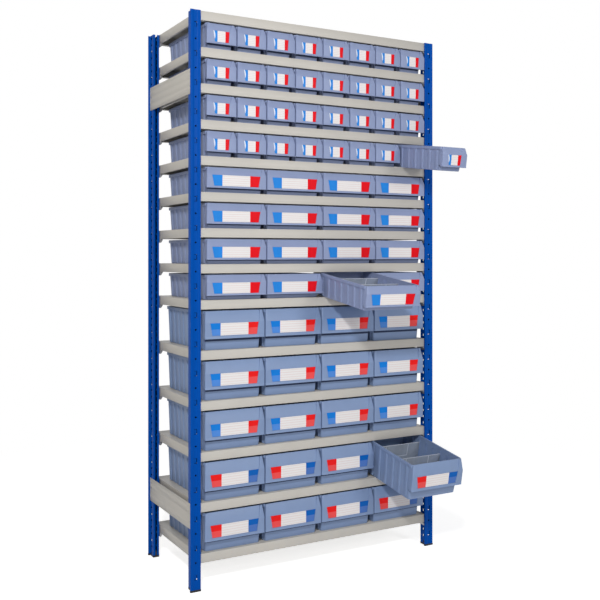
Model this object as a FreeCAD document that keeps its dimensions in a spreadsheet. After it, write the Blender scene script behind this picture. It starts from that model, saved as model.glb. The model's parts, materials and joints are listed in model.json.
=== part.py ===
import FreeCAD
import Part
import os
import re

import Sketcher

# A classroom tray storage unit: a free-standing bay of boltless clip shelving with four folded
# steel uprights, fourteen pan shelves and thirteen rows of plastic shelf trays.
#
# Frame: millimetres, +Z up, the trays face -Y, +X is to the right as seen from the front. The
# origin lies on the floor, in the middle of the rectangle that the four uprights stand on.
#
# Rows count from the top. Rows 1 to 4 hold eight small trays each, rows 5 to 8 four medium trays
# and rows 9 to 13 four large ones. Three trays are drawn out and rest tipped over the front edge
# of their shelf: the last one of row 4, the third one of row 8 and the last one of row 12.

SIZES = {
    # the bay
    "bay_width": 1034,  # over the outer edges of the uprights
    "bay_depth": 438,  # over the outer faces of the uprights
    "bay_height": 2000,  # floor to the top of the uprights
    # upright: a flat face with hemmed edges and a channel stem that opens towards the bay's middle
    "face_width": 38,
    "face_hem": 7,  # depth of the hemmed edges
    "stem_width": 23,
    "stem_depth": 40,  # from the outer face to the free ends of the stem's walls
    "steel": 1.5,
    "groove_width": 12,  # shallow groove down the middle of the face
    "groove_depth": 1,
    "hole_pitch": 25,  # square holes in the stem wall that faces outwards
    "hole_wide": 7,
    "hole_tall": 8,
    "hole_setback": 16,  # from the outer face to the middle of a hole
    "slot_pitch": 100,  # upright slots in the face
    "slot_wide": 10,
    "slot_tall": 18,
    # foot cap
    "cap_base": 7,
    "cap_plug": 15,
    "cap_margin": 0.5,
    # shelf: a pan folded from one sheet, open underneath
    "shelf_tall": 32,
    "shelf_sheet": 1.2,
    "shelf_lip": 22,  # return under the front and rear edges
    "shelf_flange": 8.5,  # return under the side edges
    "short_rise": 125,  # from shelf to shelf over small and medium trays
    "tall_rise": 175,  # from shelf to shelf over large trays
    "fit_gap": 0.2,  # between pieces of the frame that stand side by side
    # shelf clip: a plate beside the shelf's corner with a bracket that carries it
    "clip_plate": 1.5,
    "clip_long": 45,
    "clip_reach": 10.5,
    "clip_drop": 14,  # below the shelf
    "clip_toe": 4,
    # side tie between a front and a rear upright
    "tie_tall": 88,
    "tie_plate": 1.5,
    "tie_top": 1800,
    "tie_low_top": 300,
    # bolts of the side ties
    "bolt_head": 12,  # over the corners
    "bolt_cap": 2.5,
    "bolt_neck": 6,
    "bolt_nut": 4,
    # trays
    "row_margin": 49,  # from the uprights' outer edges to the ends of a full, centred row
    "tray_gap": 1,  # between trays
    "tray_length": 378,
    "tray_wall": 2,
    "short_tray": 88,  # height of small and medium trays
    "tall_tray": 137,  # height of large trays
    "short_skirt": 15,  # underside of the front panel above the tray's floor
    "tall_skirt": 40,
    "short_shift": 8,  # rows of short trays stand this far right of the bay's middle
    "tall_shift": 1,  # the same for tall trays
    "tray_lead": 4,  # the front panels stand this far in front of the uprights
    "rim_tall": 11,
    "rim_reach": 4,  # rim beyond the body's side walls
    "foot_inset": 10,  # side walls at the floor, from the tray's full width
    "foot_setback": 26,  # front wall at the floor, behind the foremost line
    "head_setback": 10,  # top edge of the front panel, behind the foremost line
    "head_deep": 30,  # depth of the panel's cheeks
    "head_inset": 5,  # top corners of the panel, from the tray's full width
    "skirt_setback": 1,  # lower edge of the front panel, behind the foremost line
    "nose_share": 0.7,  # height of the foremost line as a share of the tray's height
    "rear_lean": 5,
    # trays drawn out
    "small_out": 255,
    "medium_out": 283,
    "large_out": 232,
    "short_tip": 7.8,  # degrees
    "tall_tip": 9.1,  # degrees
    "tip_gap": 0.3,  # between a tipped tray and the edge it rests on
    # dividers
    "divider_thick": 2,
    "divider_gap": 0.4,  # to the tray's walls and floor
    "divider_drop": 14,  # top of a divider below the tray's rim
    "tall_divider_drop": 24,
    "divider_step": 132,  # from the tray's foremost line to the first divider, and on to the next
}

X_AXIS = -1  # how a sketch numbers its own axes
Y_AXIS = -2

SHORT_LEVELS = 8  # rises of the short kind, counted down from the top shelf
TALL_LEVELS = 5
SMALL_ROWS = (1, 2, 3, 4)
MEDIUM_ROWS = (5, 6, 7, 8)
LARGE_ROWS = (9, 10, 11, 12, 13)
SMALL_COLUMNS = 8
WIDE_COLUMNS = 4
WHOLE_ROWS = (1, 2, 3)  # rows whose small trays share one node

# Formulas over the sheet's names, each written once and used by every piece that meets there.
POST_CENTRE = "(bay_width / 2 - face_width / 2)"
STEM_HALF = "(stem_width / 2)"
SHELF_SIDE = "(bay_width / 2 - face_width / 2 - stem_width / 2 - clip_plate - fit_gap)"
SHELF_FRONT = "(bay_depth / 2 - face_hem - fit_gap)"
TRAY_FRONT = "(-bay_depth / 2 - tray_lead)"
TIE_FIXING = "(bay_depth / 2 - hole_setback)"
BODY_INSET = "(foot_setback - head_setback)"
TRAY_PITCH = f"((bay_width - 2 * row_margin) / {SMALL_COLUMNS})"  # wide trays take two

doc = FreeCAD.newDocument("tray_storage_unit")
sheet = doc.addObject("Spreadsheet::Sheet", "sizes")


def fill_sheet():
    """Writes every driving dimension into the sheet as a plain number with an alias."""
    for line, (name, value) in enumerate(SIZES.items(), start=1):
        sheet.set(f"A{line}", name)
        sheet.set(f"B{line}", str(value))
        sheet.setAlias(f"B{line}", name)
    doc.recompute()


def from_sheet(formula):
    """The formula with each of the sheet's names written as the sheet's cell."""
    def cell(match):
        word = match.group(0)
        return "sizes." + word if word in SIZES else word

    return re.sub(r"[a-z_]+", cell, formula)


def bind(item, size, formula):
    """Ties one property of an object to a formula over the sheet."""
    item.setExpression(size, from_sheet(formula))


def new_body(name):
    """An empty PartDesign body."""
    body = doc.addObject("PartDesign::Body", name)
    body.Label = name
    return body


def own(body, role):
    """The body's own origin plane or axis of that role."""
    return next(f for f in body.Origin.OriginFeatures if f.Role == role)


def outline(body, name, plane, loops, offset="0"):
    """A sketch on one of the body's planes, moved along its normal by the offset.

    Each loop is a closed outline, given as corners that are pairs of formulas.
    """
    sketch = body.newObject("Sketcher::SketchObject", name)
    sketch.AttachmentSupport = [(own(body, plane), "")]
    sketch.MapMode = "FlatFace"
    if offset != "0":
        bind(sketch, "AttachmentOffset.Base.z", offset)
    for corners in loops:
        first = sketch.GeometryCount
        count = len(corners)
        starts = [FreeCAD.Vector(10 * i + 5, (i - count / 2) ** 2 + 3, 0) for i in range(count)]
        for i in range(count):
            line = Part.LineSegment(starts[i], starts[(i + 1) % count])
            sketch.addGeometry(line, False)
        for i in range(count):
            after = first + (i + 1) % count
            sketch.addConstraint(Sketcher.Constraint("Coincident", first + i, 2, after, 1))
        for i, (across, along) in enumerate(corners):
            hold(sketch, "DistanceX", first + i, across, starts[i].x, Y_AXIS)
            hold(sketch, "DistanceY", first + i, along, starts[i].y, X_AXIS)
    return sketch


def hold(sketch, kind, line, formula, start, axis):
    """Fixes one coordinate of a line's first point, on an axis where the formula is zero."""
    if formula == "0":
        sketch.addConstraint(Sketcher.Constraint("PointOnObject", line, 1, axis))
        return
    number = sketch.addConstraint(Sketcher.Constraint(kind, -1, 1, line, 1, start))
    bind(sketch, f"Constraints[{number}]", formula)


def box_outline(left, right, low, high):
    """A rectangle's four corners, as an outline takes them."""
    return [(left, low), (right, low), (right, high), (left, high)]


def pad(body, name, sketch, length, both_ways=False):
    """Adds the sketch's outline to the body, drawn out along the sketch's normal."""
    feature = body.newObject("PartDesign::Pad", name)
    feature.Profile = sketch
    bind(feature, "Length", length)
    if both_ways:
        feature.Midplane = True
    return feature


def pocket(body, name, sketch, length, both_ways=False, reverse=True):
    """Takes the sketch's outline out of the body. Reversed, it cuts along the sketch's normal."""
    feature = body.newObject("PartDesign::Pocket", name)
    feature.Profile = sketch
    bind(feature, "Length", length)
    feature.Reversed = reverse
    if both_ways:
        feature.Midplane = True
    return feature


def row_along_z(body, name, feature, pitch, count):
    """Repeats a feature of the body up the body's Z axis."""
    pattern = body.newObject("PartDesign::LinearPattern", name)
    pattern.Originals = [feature]
    pattern.Direction = (own(body, "Z_Axis"), [""])
    bind(pattern, "Length", f"{pitch} * ({count} - 1)")
    bind(pattern, "Occurrences", count)
    body.Tip = pattern
    return pattern


def put(item, across, along, up):
    """Binds an object's place in the frame, leaving a coordinate that stays zero."""
    for axis, formula in zip("xyz", (across, along, up)):
        if formula != "0":
            bind(item, ".Placement.Base." + axis, formula)


def copy_of(master, name, across, along, up, half_turn=False):
    """A placed copy of a master piece, turned half round about Z where asked."""
    item = doc.addObject("Part::Compound", name)
    item.Label = name
    item.Links = [master]
    if half_turn:
        item.Placement.Rotation = FreeCAD.Rotation(FreeCAD.Vector(0, 0, 1), 180)
    put(item, across, along, up)
    return item


def group(name, items):
    """One node made of several separate solids."""
    item = doc.addObject("Part::Compound", name)
    item.Label = name
    item.Links = items
    return item


# ---- frame ----------------------------------------------------------------------------------


def upright_outline():
    """The folded section: face, hems, stem walls and the same line again one sheet further in."""
    edge = "face_width / 2"
    wall = "stem_width / 2"
    groove = "groove_width / 2"
    miter = "0.4142 * steel"  # tangent of half the groove's 45 degree bends
    outer = [
        (wall, "stem_depth"),
        (wall, "face_hem"),
        (edge, "face_hem"),
        (edge, "0"),
        (f"{groove} + groove_depth", "0"),
        (groove, "groove_depth"),
    ]
    inner = [
        (f"{groove} + {miter}", "groove_depth + steel"),
        (f"{groove} + groove_depth + {miter}", "steel"),
        (f"{edge} - steel", "steel"),
        (f"{edge} - steel", "face_hem - steel"),
        (f"{wall} - steel", "face_hem - steel"),
        (f"{wall} - steel", "stem_depth"),
    ]
    right = outer
    left = [(f"-({x})", y) for x, y in reversed(outer)]
    left_inner = [(f"-({x})", y) for x, y in reversed(inner)]
    return right + left + left_inner + inner


def upright(name, right_hand, at_right, at_rear):
    """One folded upright with its holes. The outward stem wall is on +X for a right-hand one."""
    body = new_body(name)
    section = outline(body, name + "_section", "XY_Plane", [upright_outline()], "cap_base")
    pad(body, name + "_profile", section, "bay_height - cap_base")
    hole = box_outline(
        "hole_setback - hole_wide / 2",
        "hole_setback + hole_wide / 2",
        "hole_pitch / 2 - hole_tall / 2",
        "hole_pitch / 2 + hole_tall / 2",
    )
    hole_sketch = outline(body, name + "_hole", "YZ_Plane", [hole])
    first_hole = pocket(body, name + "_first_hole", hole_sketch, "stem_width", reverse=right_hand)
    row_along_z(body, name + "_holes", first_hole, "hole_pitch", "floor(bay_height / hole_pitch)")
    slot = box_outline(
        "-slot_wide / 2",
        "slot_wide / 2",
        "slot_pitch / 2 - slot_tall / 2",
        "slot_pitch / 2 + slot_tall / 2",
    )
    slot_sketch = outline(body, name + "_slot", "XZ_Plane", [slot])
    first_slot = pocket(body, name + "_first_slot", slot_sketch, "face_hem", reverse=False)
    row_along_z(body, name + "_slots", first_slot, "slot_pitch", "floor(bay_height / slot_pitch)")
    if at_rear:
        body.Placement.Rotation = FreeCAD.Rotation(FreeCAD.Vector(0, 0, 1), 180)
    put(
        body,
        POST_CENTRE if at_right else "-" + POST_CENTRE,
        "bay_depth / 2" if at_rear else "-bay_depth / 2",
        "0",
    )
    return body


def foot_cap():
    """The moulded cap under an upright: a base in the section's outline and a plug in the stem."""
    body = new_body("foot_cap_master")
    edge = "face_width / 2 + cap_margin"
    stem = "stem_width / 2 + cap_margin"
    base = [
        (f"-({edge})", "-cap_margin"),
        (edge, "-cap_margin"),
        (edge, "face_hem + cap_margin"),
        (stem, "face_hem + cap_margin"),
        (stem, "stem_depth + cap_margin"),
        (f"-({stem})", "stem_depth + cap_margin"),
        (f"-({stem})", "face_hem + cap_margin"),
        (f"-({edge})", "face_hem + cap_margin"),
    ]
    pad(body, "cap_sole", outline(body, "cap_base_outline", "XY_Plane", [base]), "cap_base")
    plug = box_outline(
        "-(stem_width / 2 - steel)",
        "stem_width / 2 - steel",
        "face_hem + steel",
        "stem_depth - steel",
    )
    plug_sketch = outline(body, "cap_plug_outline", "XY_Plane", [plug], "cap_base")
    pad(body, "cap_plug_block", plug_sketch, "cap_plug")
    return body


def foot_caps():
    """The four caps, one under each upright."""
    master = foot_cap()
    front = "-bay_depth / 2"
    rear = "bay_depth / 2"
    return group(
        "foot_caps",
        [
            copy_of(master, "cap_front_left", "-" + POST_CENTRE, front, "0"),
            copy_of(master, "cap_front_right", POST_CENTRE, front, "0"),
            copy_of(master, "cap_rear_left", "-" + POST_CENTRE, rear, "0", True),
            copy_of(master, "cap_rear_right", POST_CENTRE, rear, "0", True),
        ],
    )


def shelf():
    """A pan shelf: sheet on top, edges turned down, and a return all round its open underside."""
    body = new_body("shelf_master")
    plate = box_outline("-" + SHELF_SIDE, SHELF_SIDE, "-" + SHELF_FRONT, SHELF_FRONT)
    plate_sketch = outline(body, "shelf_outline", "XY_Plane", [plate], "-shelf_tall")
    pad(body, "shelf_block", plate_sketch, "shelf_tall")
    hollow = box_outline(
        f"-({SHELF_SIDE} - shelf_sheet)",
        f"{SHELF_SIDE} - shelf_sheet",
        f"-({SHELF_FRONT} - shelf_sheet)",
        f"{SHELF_FRONT} - shelf_sheet",
    )
    hollow_sketch = outline(
        body, "shelf_hollow_outline", "XY_Plane", [hollow], "-shelf_tall + shelf_sheet"
    )
    pocket(body, "shelf_hollow", hollow_sketch, "shelf_tall - 2 * shelf_sheet")
    mouth = box_outline(
        f"-({SHELF_SIDE} - shelf_flange)",
        f"{SHELF_SIDE} - shelf_flange",
        f"-({SHELF_FRONT} - shelf_lip)",
        f"{SHELF_FRONT} - shelf_lip",
    )
    mouth_sketch = outline(body, "shelf_mouth_outline", "XY_Plane", [mouth], "-shelf_tall")
    pocket(body, "shelf_mouth", mouth_sketch, "shelf_sheet")
    return body


def level(number):
    """Height of a shelf's top, with the top shelf as number 0."""
    short = min(number, SHORT_LEVELS)
    tall = max(number - SHORT_LEVELS, 0)
    return f"(bay_height - {short} * short_rise - {tall} * tall_rise)"


def at_each_level(name, master):
    """The master copied to the height of every shelf, as one node."""
    copies = []
    for number in range(SHORT_LEVELS + TALL_LEVELS + 1):
        copies.append(copy_of(master, f"{name}_{number}", "0", "0", level(number)))
    return group(name, copies)


def shelf_clip():
    """A clip: the plate on the stem's inner wall and the bracket that the shelf's corner rests on."""
    body = new_body("clip_master")
    drop = "shelf_tall + clip_drop"
    section = [
        ("0", "0"),
        ("clip_plate", "0"),
        ("clip_plate", "-shelf_tall"),
        ("clip_reach", "-shelf_tall"),
        ("clip_reach", "-(shelf_tall + clip_toe)"),
        ("clip_toe", f"-({drop})"),
        ("0", f"-({drop})"),
    ]
    sketch = outline(body, "clip_section", "XZ_Plane", [section])
    pad(body, "clip_bracket", sketch, "clip_long", both_ways=True)
    return body


def shelf_clips():
    """Four clips at each shelf, one in each corner."""
    master = shelf_clip()
    side = f"({POST_CENTRE} - {STEM_HALF})"
    back = "(bay_depth / 2 - face_hem - fit_gap - clip_long / 2)"
    corners = [
        copy_of(master, "clip_front_left", "-" + side, "-" + back, "0"),
        copy_of(master, "clip_rear_left", "-" + side, back, "0"),
        copy_of(master, "clip_front_right", side, "-" + back, "0", True),
        copy_of(master, "clip_rear_right", side, back, "0", True),
    ]
    return at_each_level("shelf_clips", group("clip_set", corners))


def side_tie():
    """A tie plate with three of the uprights' holes at each end."""
    body = new_body("tie_master")
    plate = box_outline("-" + SHELF_FRONT, SHELF_FRONT, "-tie_tall", "0")
    pad(body, "tie_plate_pad", outline(body, "tie_outline", "YZ_Plane", [plate]), "tie_plate")
    holes = []
    for sign in ("-", ""):
        for step in range(3):
            drop = f"(hole_pitch / 2 + {step} * hole_pitch)"
            hole = box_outline(
                f"{sign}{TIE_FIXING} - hole_wide / 2",
                f"{sign}{TIE_FIXING} + hole_wide / 2",
                f"-{drop} - hole_tall / 2",
                f"-{drop} + hole_tall / 2",
            )
            holes.append(hole)
    hole_sketch = outline(body, "tie_hole_outline", "YZ_Plane", holes)
    pocket(body, "tie_holes", hole_sketch, "tie_plate")
    return body


def on_four_ties(name, master):
    """The master copied to the top of every tie plate, turned round on the right-hand side."""
    side = f"({POST_CENTRE} + {STEM_HALF} + tie_plate)"
    copies = []
    for title, top in (("upper", "tie_top"), ("lower", "tie_low_top")):
        copies.append(copy_of(master, f"{name}_left_{title}", "-" + side, "0", top))
        copies.append(copy_of(master, f"{name}_right_{title}", side, "0", top, True))
    return group(name, copies)


def hexagon(across):
    """A hexagon's corners about the origin, for a given width over the corners."""
    waist = f"{across} / 4"
    high = f"{across} * 0.433"  # a quarter of the root of three
    low = "-" + high
    left = f"-{across} / 2"
    right = f"{across} / 2"
    return [
        (left, "0"),
        ("-" + waist, low),
        (waist, low),
        (right, "0"),
        (waist, high),
        ("-" + waist, high),
    ]


def tie_bolt():
    """A square-necked bolt with its nut. X = 0 is the seat of the head."""
    body = new_body("bolt_master")
    head = outline(body, "bolt_head_outline", "YZ_Plane", [hexagon("bolt_head")], "-bolt_cap")
    pad(body, "bolt_head_pad", head, "bolt_cap")
    reach = "(tie_plate + steel)"
    neck = box_outline("-bolt_neck / 2", "bolt_neck / 2", "-bolt_neck / 2", "bolt_neck / 2")
    pad(body, "bolt_neck_pad", outline(body, "bolt_neck_outline", "YZ_Plane", [neck]), reach)
    nut = outline(body, "bolt_nut_outline", "YZ_Plane", [hexagon("bolt_head")], reach)
    pad(body, "bolt_nut_pad", nut, "bolt_nut")
    return body


def tie_bolts():
    """Two bolts at each end of every tie plate, in its upper and its lower hole."""
    master = tie_bolt()
    copies = []
    for along, end in (("-" + TIE_FIXING, "front"), (TIE_FIXING, "rear")):
        for step, place in ((0, "upper"), (2, "lower")):
            up = f"-(hole_pitch / 2 + {step} * hole_pitch)"
            copies.append(copy_of(master, f"bolt_{end}_{place}", "0", along, up))
    return on_four_ties("tie_bolts", group("bolt_set", copies))


# ---- trays ----------------------------------------------------------------------------------


def bin_form(body, name, pitches, tall, wall):
    """A bin whose four walls flare from the floor to the brim, wall mm inside the tray's own bin.

    The side outline is drawn across the whole brim, then a wedge comes off each side.
    """
    brim = f"({half_width(pitches)} - rim_reach - {wall})"
    foot = f"({half_width(pitches)} - foot_inset - {wall})"
    side = [
        (f"foot_setback + {wall} - {wall} * {BODY_INSET} / {tall}", wall),
        (f"head_setback + {wall}", tall),
        (f"tray_length - tray_wall - {wall}", tall),
        (f"tray_length - rear_lean - {wall}", wall),
    ]
    side_sketch = outline(body, name + "_side", "YZ_Plane", [side])
    pad(body, name + "_block", side_sketch, f"2 * {brim}", both_ways=True)
    wedges = []
    for sign in ("-", ""):
        wedges.append([(sign + brim, tall), (sign + foot, wall), (sign + brim, wall)])
    wedge_sketch = outline(body, name + "_wedges", "XZ_Plane", wedges)
    pocket(body, name + "_flare", wedge_sketch, "2.2 * tray_length", both_ways=True)


def half_width(pitches):
    """Half the full width of a tray that takes so many pitches."""
    return f"(({pitches} * {TRAY_PITCH} - tray_gap) / 2)"


def tray(name, pitches, tall, skirt):
    """A shelf tray, its foremost line on the X axis of its own frame and its floor at Z = 0.

    The bin's walls flare from the floor to a thick rim. The front panel leans out from the top
    edge to the nose, back to its lower edge, and hangs clear of the bin's front wall as a skirt.
    """
    body = new_body(name + "_outside")
    half = half_width(pitches)
    nose = f"nose_share * {tall}"
    bin_form(body, name + "_bin", pitches, tall, "0")

    rim = box_outline(f"-{half}", half, "head_deep", "tray_length")
    rim_sketch = outline(body, name + "_rim_outline", "XY_Plane", [rim], f"{tall} - rim_tall")
    pad(body, name + "_rim", rim_sketch, "rim_tall")

    head = [
        ("head_setback", tall),
        ("0", nose),
        ("skirt_setback", skirt),
        ("head_deep", f"{skirt} + rim_tall / 2"),
        ("head_deep", tall),
    ]
    head_sketch = outline(body, name + "_head_outline", "YZ_Plane", [head])
    pad(body, name + "_head", head_sketch, f"2 * {half}", both_ways=True)

    # the space between skirt and bin: one side follows the bin's front wall
    below = f"({skirt} - tray_wall)"
    above = f"({tall} - 3 * tray_wall)"
    slope = f"{BODY_INSET} / {tall}"
    gap = [
        ("skirt_setback + tray_wall", below),
        ("1.1 * tray_wall", nose),
        (f"foot_setback - {slope} * {above} - tray_wall / 4", above),
        (f"foot_setback - {slope} * {below}", below),
    ]
    gap_sketch = outline(body, name + "_gap_outline", "YZ_Plane", [gap])
    pocket(body, name + "_gap", gap_sketch, f"2 * ({half} - tray_wall)", both_ways=True)

    corners = []
    for sign in ("-", ""):
        tips = [
            (f"{sign}{half}", nose),
            (f"{sign}({half} + tray_wall)", nose),
            (f"{sign}({half} + tray_wall)", f"{tall} + tray_wall"),
            (f"{sign}({half} - head_inset)", f"{tall} + tray_wall"),
            (f"{sign}({half} - head_inset)", tall),
        ]
        corners.append(tips)
    corner_sketch = outline(body, name + "_corner_outline", "XZ_Plane", corners)
    pocket(body, name + "_corners", corner_sketch, "2 * head_deep", both_ways=True)

    cavity = new_body(name + "_cavity")
    bin_form(cavity, name + "_inside", pitches, tall, "tray_wall")
    hollow = doc.addObject("Part::Cut", name)
    hollow.Base = body
    hollow.Tool = cavity
    return hollow


def divider(name, tall, drop):
    """A cross divider for a wide tray, its lower edge at Z = 0 and its front face at Y = 0."""
    body = new_body(name)
    floor = f"({half_width(2)} - foot_inset - tray_wall - divider_gap)"
    height = f"({tall} - {drop} - tray_wall)"
    flare = f"(foot_inset - rim_reach) * {height} / {tall}"
    plate = [
        (f"-{floor}", "0"),
        (floor, "0"),
        (f"{floor} + {flare}", f"{height} - divider_gap"),
        (f"-({floor} + {flare})", f"{height} - divider_gap"),
    ]
    sketch = outline(body, name + "_outline", "XZ_Plane", [plate])
    pad(body, name + "_plate", sketch, "divider_thick", both_ways=True)
    return body


def column_middle(row, column, columns):
    """Where the middle of a row's tray lies across the bay."""
    shift = "tall_shift" if row in LARGE_ROWS else "short_shift"
    steps = (column - (columns + 1) / 2) * SMALL_COLUMNS / columns
    return f"{shift} + {steps} * {TRAY_PITCH}"


def tray_place(item, row, column, columns):
    """Stands a tray on its shelf, pushed in."""
    put(item, column_middle(row, column, columns), TRAY_FRONT, level(row))


def tipped_place(item, row, column, columns, out, tip, along="0", up="0"):
    """Rests a piece tipped over the shelf's front edge, with its tray drawn out.

    along and up are the piece's place in its tray's own frame.
    """
    edge = f"(-{SHELF_FRONT})"
    reach = f"({TRAY_FRONT} - {out} + {along} - {edge})"
    lift = f"(tip_gap + {up})"
    turn = f"({tip} * 1 deg)"
    item.Placement.Rotation = FreeCAD.Rotation(FreeCAD.Vector(1, 0, 0), SIZES[tip])
    bind(item, ".Placement.Rotation.Angle", turn)
    put(
        item,
        column_middle(row, column, columns),
        f"{edge} + {reach} * cos{turn} - {lift} * sin{turn}",
        f"{level(row)} + {reach} * sin{turn} + {lift} * cos{turn}",
    )


def compound(name, master):
    """A copy of a master piece that is placed later."""
    item = doc.addObject("Part::Compound", name)
    item.Label = name
    item.Links = [master]
    return item


def all_trays():
    """Every tray of the unit: the nodes, in reading order."""
    small = tray("small_tray_master", 1, "short_tray", "short_skirt")
    medium = tray("medium_tray_master", 2, "short_tray", "short_skirt")
    large = tray("large_tray_master", 2, "tall_tray", "tall_skirt")
    drawn_out = {
        (4, 8): ("small_out", "short_tip"),
        (8, 3): ("medium_out", "short_tip"),
        (12, 4): ("large_out", "tall_tip"),
    }
    kinds = (
        ("small", SMALL_ROWS, SMALL_COLUMNS, small),
        ("medium", MEDIUM_ROWS, WIDE_COLUMNS, medium),
        ("large", LARGE_ROWS, WIDE_COLUMNS, large),
    )
    nodes = []
    for kind, rows, columns, master in kinds:
        for row in rows:
            items = []
            for column in range(1, columns + 1):
                item = compound(f"{kind}_tray_{row}_{column}", master)
                if (row, column) in drawn_out:
                    out, tip = drawn_out[row, column]
                    tipped_place(item, row, column, columns, out, tip)
                else:
                    tray_place(item, row, column, columns)
                items.append(item)
            if row in WHOLE_ROWS:
                nodes.append(group(f"{kind}_trays_row_{row}", items))
            else:
                nodes.extend(items)
    return nodes


def dividers():
    """The cross dividers that stand in the two wide trays that are drawn out."""
    kinds = (
        ("medium", 8, 3, "medium_out", "short_tip", "short_tray", "divider_drop"),
        ("large", 12, 4, "large_out", "tall_tip", "tall_tray", "tall_divider_drop"),
    )
    nodes = []
    for kind, row, column, out, tip, tall, drop in kinds:
        master = divider(f"{kind}_divider_master", tall, drop)
        for number, title in ((1, "front"), (2, "rear")):
            item = compound(f"{kind}_divider_{title}", master)
            along = f"{number} * divider_step"
            up = "(tray_wall + divider_gap)"
            tipped_place(item, row, column, WIDE_COLUMNS, out, tip, along, up)
            nodes.append(item)
    return nodes


def problems(items):
    """What is wrong with the document or with the nodes' shapes, as lines of text."""
    found = []
    for item in doc.Objects:
        if "Invalid" in item.State or "Error" in item.State:
            found.append(f"{item.Label}: {item.State}")
    for item in items:
        if item.Shape.isNull() or not item.Shape.isValid():
            found.append(f"{item.Label}: bad shape")
        elif not item.Shape.Solids:
            found.append(f"{item.Label}: no solid")
    return found


def main():
    """Builds the document, checks it and writes one STEP file for each node."""
    fill_sheet()
    nodes = [
        upright("upright_front_left", False, at_right=False, at_rear=False),
        upright("upright_front_right", True, at_right=True, at_rear=False),
        upright("upright_rear_left", True, at_right=False, at_rear=True),
        upright("upright_rear_right", False, at_right=True, at_rear=True),
        foot_caps(),
        at_each_level("shelves", shelf()),
        shelf_clips(),
        on_four_ties("side_ties", side_tie()),
        tie_bolts(),
    ]
    nodes += all_trays()
    nodes += dividers()
    doc.recompute()
    wrong = problems(nodes)
    if wrong:
        raise RuntimeError("; ".join(wrong))
    os.makedirs("parts", exist_ok=True)
    for node in nodes:
        node.Shape.exportStep(f"parts/{node.Label}.step")
    print(len(nodes), "nodes,", sum(len(node.Shape.Solids) for node in nodes), "solids")


main()
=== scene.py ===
"""Looks of a classroom tray storage unit: a steel shelving bay full of plastic shelf trays."""

import json
import logging
import math
from collections.abc import Iterable, Sequence
from dataclasses import dataclass
from enum import Enum

import bmesh
import bpy
from bmesh.types import BMVert, BMesh
from bpy.types import ID, Material, Mesh, Node, NodeSocket, NodeTree, Object
from mathutils import Matrix, Vector


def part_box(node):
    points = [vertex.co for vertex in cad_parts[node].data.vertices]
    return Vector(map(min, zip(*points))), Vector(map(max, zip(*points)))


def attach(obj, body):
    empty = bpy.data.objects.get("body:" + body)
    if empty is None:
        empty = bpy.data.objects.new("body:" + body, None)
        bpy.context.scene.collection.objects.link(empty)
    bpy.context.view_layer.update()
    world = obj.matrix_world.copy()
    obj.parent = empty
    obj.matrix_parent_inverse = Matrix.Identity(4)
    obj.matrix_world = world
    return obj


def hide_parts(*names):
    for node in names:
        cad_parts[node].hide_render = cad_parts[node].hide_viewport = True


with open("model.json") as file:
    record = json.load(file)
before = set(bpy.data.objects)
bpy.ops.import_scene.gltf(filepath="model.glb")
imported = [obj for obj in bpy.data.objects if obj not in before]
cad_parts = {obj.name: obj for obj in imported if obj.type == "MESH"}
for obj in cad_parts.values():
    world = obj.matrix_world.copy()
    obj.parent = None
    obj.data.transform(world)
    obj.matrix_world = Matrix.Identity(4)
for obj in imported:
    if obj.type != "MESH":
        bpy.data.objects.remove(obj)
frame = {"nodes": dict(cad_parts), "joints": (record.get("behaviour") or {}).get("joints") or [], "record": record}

log = logging.getLogger("tray_unit")

MM = 0.001
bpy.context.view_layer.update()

Point = tuple[float, float, float]
Ring = list[Point]
Strip = tuple[float, float, str]


# ---- shader building -------------------------------------------------------------------------


class Value:
    """A number socket of a shader tree that takes part in Python arithmetic."""

    def __init__(self, paint: "Paint", socket: NodeSocket) -> None:
        """Wraps a socket of the paint's tree."""
        self.paint = paint
        self.socket = socket

    def maths(self, operation: str, *others: "Value | float") -> "Value":
        """Adds a Math node that takes this value and the others."""
        made = self.paint.node("ShaderNodeMath", {"operation": operation}, dict(enumerate((self, *others))))
        return Value(self.paint, made.outputs[0])

    def __add__(self, other: "Value | float") -> "Value":
        """self + other."""
        return self.maths("ADD", other)

    __radd__ = __add__

    def __sub__(self, other: "Value | float") -> "Value":
        """self - other."""
        return self.maths("SUBTRACT", other)

    def __mul__(self, other: "Value | float") -> "Value":
        """self * other."""
        return self.maths("MULTIPLY", other)

    def __gt__(self, other: "Value | float") -> "Value":
        """1 where self is greater than other, else 0."""
        return self.maths("GREATER_THAN", other)

    def __lt__(self, other: "Value | float") -> "Value":
        """1 where self is less than other, else 0."""
        return self.maths("LESS_THAN", other)

    def fraction(self) -> "Value":
        """The part after the decimal point."""
        return self.maths("FRACT")

    def size(self) -> "Value":
        """The absolute value."""
        return self.maths("ABSOLUTE")

    def root(self) -> "Value":
        """The square root."""
        return self.maths("SQRT")

    def clamped(self) -> "Value":
        """The value held between 0 and 1."""
        return self.maths("MAXIMUM", 0.0).maths("MINIMUM", 1.0)


class NodeWork:
    """A node tree under construction."""

    def __init__(self, tree: NodeTree) -> None:
        """Takes the tree and empties it."""
        self.tree = tree
        tree.nodes.clear()

    def plug(self, given: object, socket: NodeSocket) -> None:
        """Links what is given to a socket, or sets it as the socket's value."""
        source = given.socket if isinstance(given, Value) else given
        if isinstance(source, NodeSocket):
            self.tree.links.new(source, socket)
        else:
            socket.default_value = source

    def node(
        self,
        kind: str,
        settings: dict[str, object] | None = None,
        inputs: dict[str | int, object] | None = None,
    ) -> Node:
        """Adds a node.

        Args:
            kind: the node's type.
            settings: properties that are set before the sockets.
            inputs: socket name or number to a value, a Value or a socket.

        Returns:
            The new node.
        """
        made = self.tree.nodes.new(kind)
        for key, setting in (settings or {}).items():
            setattr(made, key, setting)
        for key, given in (inputs or {}).items():
            self.plug(given, made.inputs[key])
        return made


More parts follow.
